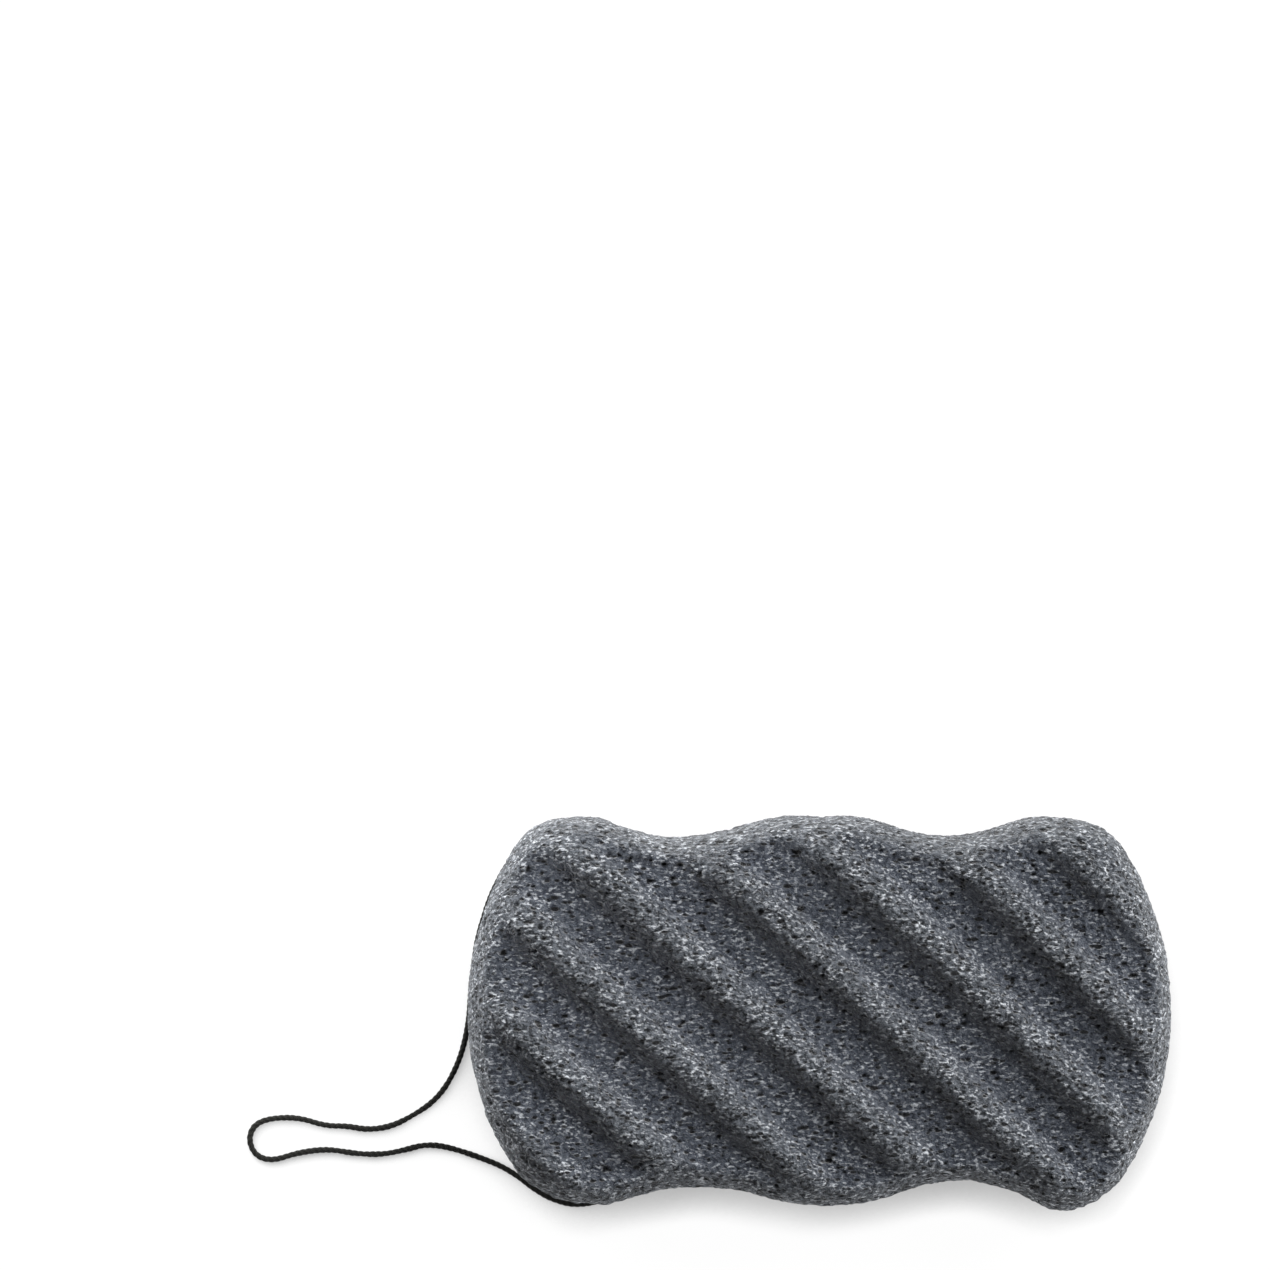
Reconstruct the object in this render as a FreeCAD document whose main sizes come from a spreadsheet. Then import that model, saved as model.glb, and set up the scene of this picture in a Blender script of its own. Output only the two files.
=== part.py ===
import FreeCAD, Part
import math
import os
import Sketcher

os.makedirs("parts", exist_ok=True)
doc = FreeCAD.newDocument("konjac_sponge")
V = FreeCAD.Vector

# Sizes in millimetres and degrees
sheet = doc.addObject("Spreadsheet::Sheet", "sizes")
values = [
    ("sponge_length", 130.0),
    ("sponge_width", 72.2),
    ("sponge_thickness", 32.0),
    ("end_radius", 56.0),
    ("corner_radius", 14.0),
    ("scallop_share", 0.5548),
    ("scallop_depth", 4.3),
    ("front_round", 11.0),
    ("back_round", 10.0),
    ("crown_allowance", 0.3),
    ("wave_pitch", 15.8),
    ("wave_depth", 3.8),
    ("wave_crest_share", 0.23),
    ("wave_foot_share", 0.075),
    ("ridge_share", 0.709),
    ("wave_direction", 47.0),
    ("wave_shift", 7.1),
    ("wave_count", 9),
    ("wave_cut_clearance", 2.0),
    ("cord_diameter", 1.1),
    ("route_width", 72.2),
    ("channel_clearance", 0.05),
    ("loop_gap", 0.2),
    ("knot_diameter", 3.0),
    ("knot_length", 3.4),
    ("tail_length", 4.5),
    ("tail_clearance", 0.05),
    ("tail_lean", 10.0),
]
# Lines of the sheet that follow from the ones above
derived = [
    ("end_centre", "=sponge_length / 2 - end_radius"),
    ("corner_centre_across", "=sponge_width / 2 - corner_radius"),
    ("corner_centre_along",
     "=end_centre + sqrt((end_radius - corner_radius)^2 - corner_centre_across^2)"),
    ("scallop_offset", "=corner_centre_along * scallop_share"),
    ("scallop_reach", "=corner_centre_along - scallop_offset"),
    ("scallop_radius",
     "=(scallop_reach^2 + (corner_radius - scallop_depth)^2 - corner_radius^2) / (2 * scallop_depth)"),
    ("middle_radius",
     "=(scallop_offset^2 + (scallop_radius - scallop_depth)^2 - scallop_radius^2) / (2 * scallop_depth)"),
    ("blank_thickness", "=sponge_thickness + crown_allowance"),
    ("wave_crest_radius", "=wave_pitch * wave_crest_share"),
    ("wave_foot_radius", "=wave_pitch * wave_foot_share"),
    ("ridge_half_width", "=wave_pitch * ridge_share / 2"),
    ("wave_cut_height", "=blank_thickness + wave_cut_clearance"),
    ("first_crest", "=(wave_count + 1) / 2 * wave_pitch - wave_shift"),
    ("channel_diameter", "=cord_diameter + 2 * channel_clearance"),
    ("bead_radius", "=knot_length / 6"),
]
row = 1
for name, value in values + derived:
    sheet.set("A%d" % row, name)
    sheet.set("B%d" % row, str(value))
    sheet.setAlias("B%d" % row, name)
    row += 1
doc.recompute()


def size(name):
    """Value of one named line of the sheet."""
    return float(sheet.get(name))


def bind(thing, prop, expression):
    """Tie one property to named lines of the sheet."""
    thing.setExpression(prop, expression)


def new_sketch(body, name, plane):
    """Empty sketch on one of the body's own origin planes."""
    sketch = body.newObject("Sketcher::SketchObject", name)
    support = [f for f in body.Origin.OriginFeatures if f.Role == plane][0]
    sketch.AttachmentSupport = [(support, "")]
    sketch.MapMode = "FlatFace"
    return sketch


def dimension(sketch, name, constraint, expression):
    """Add a named dimension that follows the sheet."""
    index = sketch.addConstraint(constraint)
    sketch.renameConstraint(index, name)
    sketch.setExpression("Constraints." + name, expression)


def arc(centre, radius, start, end):
    """Arc of a circle in the sketch plane, angles in radians, counter-clockwise."""
    circle = Part.Circle(V(centre[0], centre[1], 0), V(0, 0, 1), radius)
    return Part.ArcOfCircle(circle, start, end)


# Sponge blank: scalloped outline from twelve tangent arcs, padded and rounded
blank = doc.addObject("PartDesign::Body", "sponge_blank")
outline = new_sketch(blank, "outline", "XY_Plane")
half_width = size("sponge_width") / 2
end_x = size("end_centre")
corner_x = size("corner_centre_along")
corner_y = size("corner_centre_across")
dip_x = size("scallop_offset")
dip_r = size("scallop_radius")
dip_y = half_width - size("scallop_depth") + dip_r
mid_r = size("middle_radius")
mid_y = half_width - mid_r
end_turn = math.atan2(corner_y, corner_x - end_x)
corner_turn = math.atan2(dip_y - corner_y, dip_x - corner_x)
dip_turn = math.atan2(dip_y - mid_y, dip_x)
pi = math.pi
corner_r = size("corner_radius")
end_r = size("end_radius")

# Arcs along the outline, counter-clockwise from the right end; the hollow ones run backwards
pieces = [
    (arc((end_x, 0), end_r, -end_turn, end_turn), True),
    (arc((corner_x, corner_y), corner_r, end_turn, corner_turn), True),
    (arc((dip_x, dip_y), dip_r, dip_turn - pi, corner_turn - pi), False),
    (arc((0, mid_y), mid_r, dip_turn, pi - dip_turn), True),
    (arc((-dip_x, dip_y), dip_r, -corner_turn, -dip_turn), False),
    (arc((-corner_x, corner_y), corner_r, pi - corner_turn, pi - end_turn), True),
    (arc((-end_x, 0), end_r, pi - end_turn, pi + end_turn), True),
    (arc((-corner_x, -corner_y), corner_r, pi + end_turn, pi + corner_turn), True),
    (arc((-dip_x, -dip_y), dip_r, dip_turn, corner_turn), False),
    (arc((0, -mid_y), mid_r, pi + dip_turn, 2 * pi - dip_turn), True),
    (arc((dip_x, -dip_y), dip_r, pi - corner_turn, pi - dip_turn), False),
    (arc((corner_x, -corner_y), corner_r, 2 * pi - corner_turn, 2 * pi - end_turn), True),
]
for piece in pieces:
    outline.addGeometry(piece[0], False)
count = len(pieces)
for i in range(count):
    j = (i + 1) % count
    last = 2 if pieces[i][1] else 1
    first = 1 if pieces[j][1] else 2
    outline.addConstraint(Sketcher.Constraint("Tangent", i, last, j, first))
for i, sign in ((0, 1), (6, -1)):
    outline.addConstraint(Sketcher.Constraint("PointOnObject", i, 3, -1))
    dimension(outline, "end_radius_%d" % i, Sketcher.Constraint("Radius", i, end_r), "sizes.end_radius")
    if sign > 0:
        place = Sketcher.Constraint("DistanceX", -1, 1, i, 3, end_x)
    else:
        place = Sketcher.Constraint("DistanceX", i, 3, -1, 1, end_x)
    dimension(outline, "end_centre_%d" % i, place, "sizes.end_centre")
for i, sign in ((1, 1), (5, 1), (7, -1), (11, -1)):
    dimension(outline, "corner_radius_%d" % i, Sketcher.Constraint("Radius", i, corner_r),
              "sizes.corner_radius")
    if sign > 0:
        place = Sketcher.Constraint("DistanceY", -1, 1, i, 3, corner_y)
    else:
        place = Sketcher.Constraint("DistanceY", i, 3, -1, 1, corner_y)
    dimension(outline, "corner_centre_%d" % i, place, "sizes.corner_centre_across")
for i, sign in ((2, 1), (4, -1), (8, -1), (10, 1)):
    dimension(outline, "scallop_radius_%d" % i, Sketcher.Constraint("Radius", i, dip_r),
              "sizes.scallop_radius")
    if sign > 0:
        place = Sketcher.Constraint("DistanceX", -1, 1, i, 3, dip_x)
    else:
        place = Sketcher.Constraint("DistanceX", i, 3, -1, 1, dip_x)
    dimension(outline, "scallop_offset_%d" % i, place, "sizes.scallop_offset")
for i in (3, 9):
    dimension(outline, "middle_radius_%d" % i, Sketcher.Constraint("Radius", i, mid_r),
              "sizes.middle_radius")
doc.recompute()

pad = blank.newObject("PartDesign::Pad", "slab")
pad.Profile = outline
pad.Length = size("blank_thickness")
bind(pad, "Length", "sizes.blank_thickness")
doc.recompute()


def rim_edges(feature, height):
    """Names of the edges that lie wholly at one height."""
    names = []
    for i, edge in enumerate(feature.Shape.Edges):
        box = edge.BoundBox
        if abs(box.ZMin - height) < 1e-4 and abs(box.ZMax - height) < 1e-4:
            names.append("Edge%d" % (i + 1))
    return names


front_rim = blank.newObject("PartDesign::Fillet", "front_rim")
front_rim.Base = (pad, rim_edges(pad, size("blank_thickness")))
front_rim.Radius = size("front_round")
bind(front_rim, "Radius", "sizes.front_round")
doc.recompute()
back_rim = blank.newObject("PartDesign::Fillet", "back_rim")
back_rim.Base = (front_rim, rim_edges(front_rim, 0.0))
back_rim.Radius = size("back_round")
bind(back_rim, "Radius", "sizes.back_round")
doc.recompute()

# Waves of the front face: one flat valley between two rounded ridges, repeated across the face
valley = new_sketch(blank, "valley", "XZ_Plane")
valley.AttachmentOffset = FreeCAD.Placement(V(0, 0, 0),
                                            FreeCAD.Rotation(V(0, 1, 0), size("wave_direction")))
bind(valley, "AttachmentOffset.Rotation.Angle", "sizes.wave_direction")
pitch = size("wave_pitch")
depth = size("wave_depth")
crest_r = size("wave_crest_radius")
foot_r = size("wave_foot_radius")
ridge_half = size("ridge_half_width")
top = size("sponge_thickness")
left = -size("first_crest")
lift = size("wave_cut_height")
both = crest_r + foot_r
span = math.hypot(ridge_half, both - depth)
flank = math.asin(both / span) - math.atan2(both - depth, ridge_half)
ca, sa = math.cos(flank), math.sin(flank)
crest_a = (left, top - crest_r)
crest_b = (left + pitch, top - crest_r)
foot_a = (left + ridge_half, top - depth + foot_r)
foot_b = (left + pitch - ridge_half, top - depth + foot_r)
leave_a = V(crest_a[0] + crest_r * sa, crest_a[1] + crest_r * ca, 0)
reach_a = V(foot_a[0] - foot_r * sa, foot_a[1] - foot_r * ca, 0)
floor_a = V(foot_a[0], foot_a[1] - foot_r, 0)
floor_b = V(foot_b[0], foot_b[1] - foot_r, 0)
leave_b = V(foot_b[0] + foot_r * sa, foot_b[1] - foot_r * ca, 0)
reach_b = V(crest_b[0] - crest_r * sa, crest_b[1] + crest_r * ca, 0)
valley.addGeometry(arc(crest_a, crest_r, pi / 2 - flank, pi / 2), False)
valley.addGeometry(Part.LineSegment(leave_a, reach_a), False)
valley.addGeometry(arc(foot_a, foot_r, 1.5 * pi - flank, 1.5 * pi), False)
valley.addGeometry(Part.LineSegment(floor_a, floor_b), False)
valley.addGeometry(arc(foot_b, foot_r, 1.5 * pi, 1.5 * pi + flank), False)
valley.addGeometry(Part.LineSegment(leave_b, reach_b), False)
valley.addGeometry(arc(crest_b, crest_r, pi / 2, pi / 2 + flank), False)
valley.addGeometry(Part.LineSegment(V(left + pitch, top, 0), V(left + pitch, lift, 0)), False)
valley.addGeometry(Part.LineSegment(V(left + pitch, lift, 0), V(left, lift, 0)), False)
valley.addGeometry(Part.LineSegment(V(left, lift, 0), V(left, top, 0)), False)
for a, pa, b, pb in ((0, 1, 1, 1), (1, 2, 2, 1), (2, 2, 3, 1), (3, 2, 4, 1), (4, 2, 5, 1), (5, 2, 6, 2)):
    valley.addConstraint(Sketcher.Constraint("Tangent", a, pa, b, pb))
for a, pa, b, pb in ((6, 1, 7, 1), (7, 2, 8, 1), (8, 2, 9, 1), (9, 2, 0, 2)):
    valley.addConstraint(Sketcher.Constraint("Coincident", a, pa, b, pb))
valley.addConstraint(Sketcher.Constraint("Vertical", 7))
valley.addConstraint(Sketcher.Constraint("Vertical", 9))
valley.addConstraint(Sketcher.Constraint("Horizontal", 8))
valley.addConstraint(Sketcher.Constraint("Vertical", 0, 2, 0, 3))
valley.addConstraint(Sketcher.Constraint("Vertical", 6, 1, 6, 3))
valley.addConstraint(Sketcher.Constraint("Horizontal", 0, 3, 6, 3))
valley.addConstraint(Sketcher.Constraint("Horizontal", 2, 3, 4, 3))
dimension(valley, "crest_a", Sketcher.Constraint("Radius", 0, crest_r), "sizes.wave_crest_radius")
dimension(valley, "crest_b", Sketcher.Constraint("Radius", 6, crest_r), "sizes.wave_crest_radius")
dimension(valley, "foot_a", Sketcher.Constraint("Radius", 2, foot_r), "sizes.wave_foot_radius")
dimension(valley, "foot_b", Sketcher.Constraint("Radius", 4, foot_r), "sizes.wave_foot_radius")
dimension(valley, "crest_height", Sketcher.Constraint("DistanceY", -1, 1, 0, 3, top - crest_r),
          "sizes.sponge_thickness - sizes.wave_crest_radius")
dimension(valley, "foot_height", Sketcher.Constraint("DistanceY", -1, 1, 2, 3, foot_a[1]),
          "sizes.sponge_thickness - sizes.wave_depth + sizes.wave_foot_radius")
dimension(valley, "crest_place", Sketcher.Constraint("DistanceX", 0, 3, -1, 1, -left), "sizes.first_crest")
dimension(valley, "pitch", Sketcher.Constraint("DistanceX", 0, 3, 6, 3, pitch), "sizes.wave_pitch")
dimension(valley, "ridge_a", Sketcher.Constraint("DistanceX", 0, 3, 2, 3, ridge_half),
          "sizes.ridge_half_width")
dimension(valley, "ridge_b", Sketcher.Constraint("DistanceX", 4, 3, 6, 3, ridge_half),
          "sizes.ridge_half_width")
dimension(valley, "lift", Sketcher.Constraint("DistanceY", -1, 1, 8, 1, lift), "sizes.wave_cut_height")
doc.recompute()

wave = blank.newObject("PartDesign::Pocket", "wave")
wave.Profile = valley
wave.SideType = "Symmetric"
wave.Type = "Length"
wave.Length = 2 * size("sponge_length")
bind(wave, "Length", "2 * sizes.sponge_length")
doc.recompute()
waves = blank.newObject("PartDesign::LinearPattern", "waves")
waves.Originals = [wave]
waves.Direction = (valley, ["H_Axis"])
waves.Length = (size("wave_count") - 1) * pitch
waves.Occurrences = int(size("wave_count"))
bind(waves, "Length", "(sizes.wave_count - 1) * sizes.wave_pitch")
bind(waves, "Occurrences", "sizes.wave_count")
blank.Tip = waves
doc.recompute()

# String route, points chosen by hand, in millimetres: from the sponge's left end, from its middle line,
# and the height above lying flat
# Foot of the lower side: from the mouth under the lower side out to the loop
foot_points = [
    (29.4, -33.0, 1.45),
    (25.7, -36.2, 0.3),
    (21.7, -37.4, 0),
    (17.4, -37.2, 0),
    (13.0, -35.4, 0),
    (7.7, -31.4, 0),
    (1.5, -28.6, 0),
    (-5.5, -26.0, 0),
]
# Free loop: out along the lower strand, round the far end and back along the upper strand
loop_points = [
    (1.5, -28.6, 0),
    (-5.5, -26.0, 0),
    (-12.2, -26.9, 0),
    (-19.0, -28.3, 0),
    (-26.5, -27.1, 0),
    (-32.2, -27.9, 0),
    (-37.3, -29.6, 0),
    (-40.5, -28.4, 0),
    (-41.7, -25.35, 0),
    (-40.5, -22.3, 0),
    (-37.2, -21.05, 0),
    (-32.0, -21.3, 0),
    (-26.0, -22.7, 0),
    (-19.0, -23.6, 0),
    (-12.0, -21.6, 0),
    (-6.0, -17.9, 0),
    (-2.3, -11.9, 0),
]
# Shoulder of the left end: from the loop round to the knot under the upper side
shoulder_points = [
    (-6.0, -17.9, 0),
    (-2.3, -11.9, 0),
    (-0.4, -4.8, 0),
    (0.0, 4.0, 0),
    (1.4, 12.6, 0),
    (4.0, 20.6, 0),
    (7.4, 27.0, 0.05),
    (11.6, 31.4, 0.35),
    (16.6, 34.3, 0.95),
    (25.2, 34.1, 0.95),
]
# Threaded length: from the knot in under the upper side, through the sponge and out to the lower mouth
threaded_points = [
    (16.6, 34.3, 0.95),
    (25.2, 34.1, 0.95),
    (29.1, 32.0, 1.85),
    (32.2, 27.6, 3.65),
    (33.4, 20.5, 4.65),
    (34.0, 8.0, 5.25),
    (34.0, -8.0, 5.25),
    (33.4, -20.5, 4.65),
    (32.2, -28.3, 3.45),
    (29.4, -33.0, 1.45),
    (25.7, -36.2, 0.3),
]


def laid(points):
    """Points in the part's frame: the route keeps to the left end and spreads with the sponge's width."""
    spread = size("sponge_width") / size("route_width")
    end = -size("sponge_length") / 2
    flat = size("cord_diameter") / 2
    return [(end + x, y * spread, flat + z) for x, y, z in points]


foot_points = laid(foot_points)
loop_points = laid(loop_points)
shoulder_points = laid(shoulder_points)
threaded_points = laid(threaded_points)


def middle(points, i):
    """Halfway point of run i of a list of points."""
    a, b = V(*points[i]), V(*points[i + 1])
    return (a + b) * 0.5


def trimmed(points, start_gap, end_gap):
    """Points whose first and last runs start and end at their middles, moved in by the gaps."""
    inner = [V(*p) for p in points]
    start, end = middle(points, 0), middle(points, len(points) - 2)
    first = (inner[1] - inner[0]).normalize()
    last = (inner[-1] - inner[-2]).normalize()
    return [start + first * start_gap] + inner[1:-1] + [end - last * end_gap]


def run_limits(points):
    """Lengths of the runs that the arcs are sized from: whole runs, also where an end is trimmed."""
    return [(V(*points[i + 1]) - V(*points[i])).Length for i in range(len(points) - 1)]


def route(points, start_gap=0.0, end_gap=0.0):
    """Wire of straight runs joined by tangent arcs; returns the wire and the arc radii."""
    runs = run_limits(points)
    knots = trimmed(points, start_gap, end_gap)
    edges = []
    radii = []
    here = knots[0]
    for i in range(1, len(knots) - 1):
        into = (knots[i] - knots[i - 1]).normalize()
        out = (knots[i + 1] - knots[i]).normalize()
        half = 0.5 * into.getAngle(out)
        reach = 0.45 * min(runs[i - 1], runs[i])
        if i == 1:
            reach = min(reach, 0.85 * (knots[1] - knots[0]).Length)
        if i == len(knots) - 2:
            reach = min(reach, 0.85 * (knots[-1] - knots[-2]).Length)
        radius = reach / math.tan(half)
        radii.append(radius)
        begin, end = knots[i] - into * reach, knots[i] + out * reach
        inward = (out - into).normalize()
        centre = knots[i] + inward * (radius / math.cos(half))
        edges.append(Part.LineSegment(here, begin).toShape())
        edges.append(Part.Arc(begin, centre - inward * radius, end).toShape())
        here = end
    edges.append(Part.LineSegment(here, knots[-1]).toShape())
    return Part.Wire(edges), radii


def tube(wire, diameter):
    """Round tube along a wire."""
    start = wire.OrderedEdges[0]
    point = start.valueAt(start.FirstParameter)
    tangent = start.tangentAt(start.FirstParameter)
    ring = Part.Wire([Part.Circle(point, tangent, diameter / 2).toShape()])
    solid = wire.makePipeShell([ring], True, True)
    expected = math.pi * diameter ** 2 / 4 * wire.Length
    if abs(solid.Volume - expected) > 0.02 * expected:
        raise RuntimeError("tube volume %.2f, expected %.2f" % (solid.Volume, expected))
    return solid


def add_feature(name, shape):
    """Document object that holds one shape."""
    thing = doc.addObject("Part::Feature", name)
    thing.Shape = shape
    return thing


thick = size("cord_diameter")
clear = thick / 2 + size("loop_gap")
knot_half = size("knot_length") / 2
bead = size("bead_radius")

foot_wire, foot_radii = route(foot_points)
foot_end = middle(foot_points, len(foot_points) - 2)
foot_shape = tube(foot_wire, thick).fuse(Part.makeSphere(thick / 2, foot_end)).removeSplitter()
foot_strand = add_feature("foot_strand", foot_shape)

shoulder_wire, shoulder_radii = route(shoulder_points, 0.0, knot_half)
shoulder_end = middle(shoulder_points, 0)
shoulder_shape = tube(shoulder_wire, thick).fuse(Part.makeSphere(thick / 2, shoulder_end)).removeSplitter()
shoulder_strand = add_feature("shoulder_strand", shoulder_shape)

loop_wire, loop_radii = route(loop_points, clear, clear)
hanging_loop = add_feature("hanging_loop", tube(loop_wire, thick))

threaded_wire, threaded_radii = route(threaded_points, knot_half, 0.0)
threaded_cord = add_feature("threaded_cord", tube(threaded_wire, thick))

named = (("foot", foot_wire, foot_radii), ("loop", loop_wire, loop_radii),
         ("shoulder", shoulder_wire, shoulder_radii), ("threaded", threaded_wire, threaded_radii))
for name, wire, radii in named:
    print("%s length %.1f mm, arc radii %s" % (name, wire.Length, ["%.1f" % r for r in radii]))
print("hinge line from", foot_end, "to", shoulder_end)

# Channel of the string through the sponge
channel = add_feature("channel", tube(threaded_wire, size("channel_diameter")))
sponge = doc.addObject("Part::Cut", "sponge_body")
sponge.Base = blank
sponge.Tool = channel
doc.recompute()

# Knot: a barrel of three turns on the string, with two short tails
knot_centre = middle(threaded_points, 0)
along = (V(*threaded_points[1]) - V(*threaded_points[0])).normalize()
turns = doc.addObject("PartDesign::Body", "knot_turns")
section = new_sketch(turns, "turn_section", "XZ_Plane")
section.addGeometry(Part.LineSegment(V(-3 * bead, 0, 0), V(3 * bead, 0, 0)), False)
rise = size("knot_diameter") / 2 - bead
section.addGeometry(Part.LineSegment(V(3 * bead, 0, 0), V(3 * bead, rise, 0)), False)
section.addGeometry(arc((2 * bead, rise), bead, 0, pi), False)
section.addGeometry(arc((0, rise), bead, 0, pi), False)
section.addGeometry(arc((-2 * bead, rise), bead, 0, pi), False)
section.addGeometry(Part.LineSegment(V(-3 * bead, rise, 0), V(-3 * bead, 0, 0)), False)
for a, pa, b, pb in ((0, 2, 1, 1), (1, 2, 2, 1), (2, 2, 3, 1), (3, 2, 4, 1), (4, 2, 5, 1), (5, 2, 0, 1)):
    section.addConstraint(Sketcher.Constraint("Coincident", a, pa, b, pb))
section.addConstraint(Sketcher.Constraint("PointOnObject", 0, 1, -1))
section.addConstraint(Sketcher.Constraint("PointOnObject", 0, 2, -1))
section.addConstraint(Sketcher.Constraint("PointOnObject", 3, 3, -2))
section.addConstraint(Sketcher.Constraint("Vertical", 1))
section.addConstraint(Sketcher.Constraint("Vertical", 5))
section.addConstraint(Sketcher.Constraint("Horizontal", 2, 1, 2, 3))
section.addConstraint(Sketcher.Constraint("Horizontal", 2, 3, 2, 2))
section.addConstraint(Sketcher.Constraint("Horizontal", 3, 3, 3, 2))
section.addConstraint(Sketcher.Constraint("Horizontal", 4, 3, 4, 2))
for i in (2, 3, 4):
    dimension(section, "bead_%d" % i, Sketcher.Constraint("Radius", i, bead), "sizes.bead_radius")
dimension(section, "rise", Sketcher.Constraint("DistanceY", -1, 1, 3, 3, rise),
          "sizes.knot_diameter / 2 - sizes.bead_radius")
doc.recompute()
spin = turns.newObject("PartDesign::Revolution", "turn_ring")
spin.Profile = section
spin.ReferenceAxis = (section, ["H_Axis"])
spin.Angle = 360
turns.Tip = spin
turns.Placement = FreeCAD.Placement(knot_centre, FreeCAD.Rotation(V(1, 0, 0), along))
doc.recompute()

tails = []
tail_rise = thick + size("tail_clearance")
for name, way in (("tail_in", 1.0), ("tail_out", -1.0)):
    tail = doc.addObject("Part::Cylinder", name)
    bind(tail, "Radius", "sizes.cord_diameter / 2")
    bind(tail, "Height", "sizes.tail_length + sizes.bead_radius")
    foot = knot_centre + along * way * (knot_half - bead) + V(0, 0, tail_rise)
    tilt = math.radians(size("tail_lean"))
    lean = along * way * math.cos(tilt) + V(0, 0, math.sin(tilt))
    tail.Placement = FreeCAD.Placement(foot, FreeCAD.Rotation(V(0, 0, 1), lean))
    tails.append(tail)
knot = doc.addObject("Part::MultiFuse", "cord_knot")
knot.Shapes = [turns] + tails
doc.recompute()

# Check every object and write the parts
for thing in doc.Objects:
    if "Invalid" in thing.State or "Error" in thing.State:
        raise RuntimeError("%s is in state %s" % (thing.Name, thing.State))
for thing in (sponge, threaded_cord, foot_strand, shoulder_strand, hanging_loop, knot):
    thing.Label = thing.Name
    shape = thing.Shape
    if shape.isNull() or not shape.isValid():
        raise RuntimeError("%s has no valid shape" % thing.Name)
    if len(shape.Solids) != 1:
        raise RuntimeError("%s has %d solids" % (thing.Name, len(shape.Solids)))
    box = shape.BoundBox
    print("%s volume %.1f mm3, box %.2f %.2f %.2f to %.2f %.2f %.2f" % (
        thing.Name, shape.Volume, box.XMin, box.YMin, box.ZMin, box.XMax, box.YMax, box.ZMax))
    shape.exportStep("parts/%s.step" % thing.Label)
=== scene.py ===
import math

import bpy
import numpy as np
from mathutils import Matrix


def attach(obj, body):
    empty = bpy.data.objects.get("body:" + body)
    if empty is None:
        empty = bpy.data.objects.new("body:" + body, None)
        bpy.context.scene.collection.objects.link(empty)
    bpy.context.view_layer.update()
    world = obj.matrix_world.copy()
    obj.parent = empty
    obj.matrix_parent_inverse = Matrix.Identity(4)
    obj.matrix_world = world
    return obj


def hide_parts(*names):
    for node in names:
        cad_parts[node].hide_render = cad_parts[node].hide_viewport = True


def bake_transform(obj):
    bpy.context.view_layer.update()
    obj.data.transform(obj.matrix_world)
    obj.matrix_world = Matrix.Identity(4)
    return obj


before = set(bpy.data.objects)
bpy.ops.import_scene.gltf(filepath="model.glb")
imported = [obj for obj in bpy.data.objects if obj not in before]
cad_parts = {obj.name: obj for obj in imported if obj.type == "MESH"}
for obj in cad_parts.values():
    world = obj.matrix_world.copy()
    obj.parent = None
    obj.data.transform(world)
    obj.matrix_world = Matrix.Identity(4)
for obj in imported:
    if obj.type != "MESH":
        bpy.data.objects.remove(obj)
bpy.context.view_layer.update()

MM = 0.001

# Sizes of the sponge in millimetres, as in the part's source
LENGTH = 130.0
WIDTH = 72.2
END_RADIUS = 56.0
CORNER_RADIUS = 14.0
SCALLOP_SHARE = 0.5548
SCALLOP_DEPTH = 4.3
FRONT_ROUND = 11.0
BACK_ROUND = 10.0
CREST_HEIGHT = 32.0
WAVE_DEPTH = 3.8
WAVE_PITCH = 15.8
WAVE_TURN = math.radians(47.0)
WAVE_SHIFT = 7.1
RIDGE_WIDTH = 11.2

# Ridges that are fuller towards the light, wander, fan out at the left end and crowd at the right end
RIDGE_FULLNESS = 0.6
LEE_FULLNESS = 0.2
WANDER = 0.3
WANDER_SIZE = 22.0
LEFT_FAN = 0.025
LEFT_REACH = (-10.0, 30.0)  # where the fan starts and is full, counted to the left
RIGHT_CROWDING = 1.3
RIGHT_REACH = (15.0, 60.0)  # where the crowding starts and is full, counted to the right

# Regions of the surface and how softly they begin or end
WAVE_START = (1.0, 5.5)  # millimetres in from the side where the waves start and are full
RIM_INSET = (0.0, 4.0)  # millimetres in from the side over which the rim ends
RIM_HEIGHT = (9.0, 21.0)  # heights where the rim starts and is full
LEE_LEAN = (0.35, 0.76)  # lean of a normal away from the light where a lee flank starts and is full

# Pores in millimetres: lattice spacing, smallest and largest radius, share of the cells that hold one
LARGE_PORES = (1.9, 0.32, 0.62, 0.50)
SMALL_PORES = (1.0, 0.22, 0.40, 0.45)
LARGE_EDGE = 0.40  # share of the radius over which a large pore's wall falls
SMALL_EDGE = 0.45
SMALL_SHARE = 0.8  # depth of the small pores beside the large ones
PORE_DEPTH = 0.50
PORE_STRETCH = (0.7, 1.0, 1.0)

# Grain and lumps of the foam in millimetres, and the turn that keeps lattices off its flat faces
GRAIN_SIZE = 0.8
GRAIN_HEIGHT = 0.22
LUMP_SIZE = 2.2
LUMP_HEIGHT = 0.16
FOAM_SLANT = (0.6, 0.5, 0.0)

# Where the string goes into the foam, and how deep and wide the foam is drawn in there
MOUTHS = ((-36.6, 31.4, 2.7), (-36.2, -32.2, 2.4))
MOUTH_DEPTH = 0.9
MOUTH_RADIUS = 1.5

# Patterns of the foam's and the string's materials in millimetres
WALL_SIZE = 0.74
FLECK_SIZE = 0.52
CLUSTER_SIZE = 3.5
WIDE_PORE_SPACING = 2.6
FINE_PORE_SPACING = 1.3
FIBRE_SIZE = 0.15

# Mesh: steps in each arc of the outline, columns along a long side and along an end, rows round the rim
ARC_STEPS = 400
LONG_COLUMNS = 330
END_COLUMNS = 196
FRONT_ROWS = 56
SIDE_ROWS = 30
BACK_ROWS = 50

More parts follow.
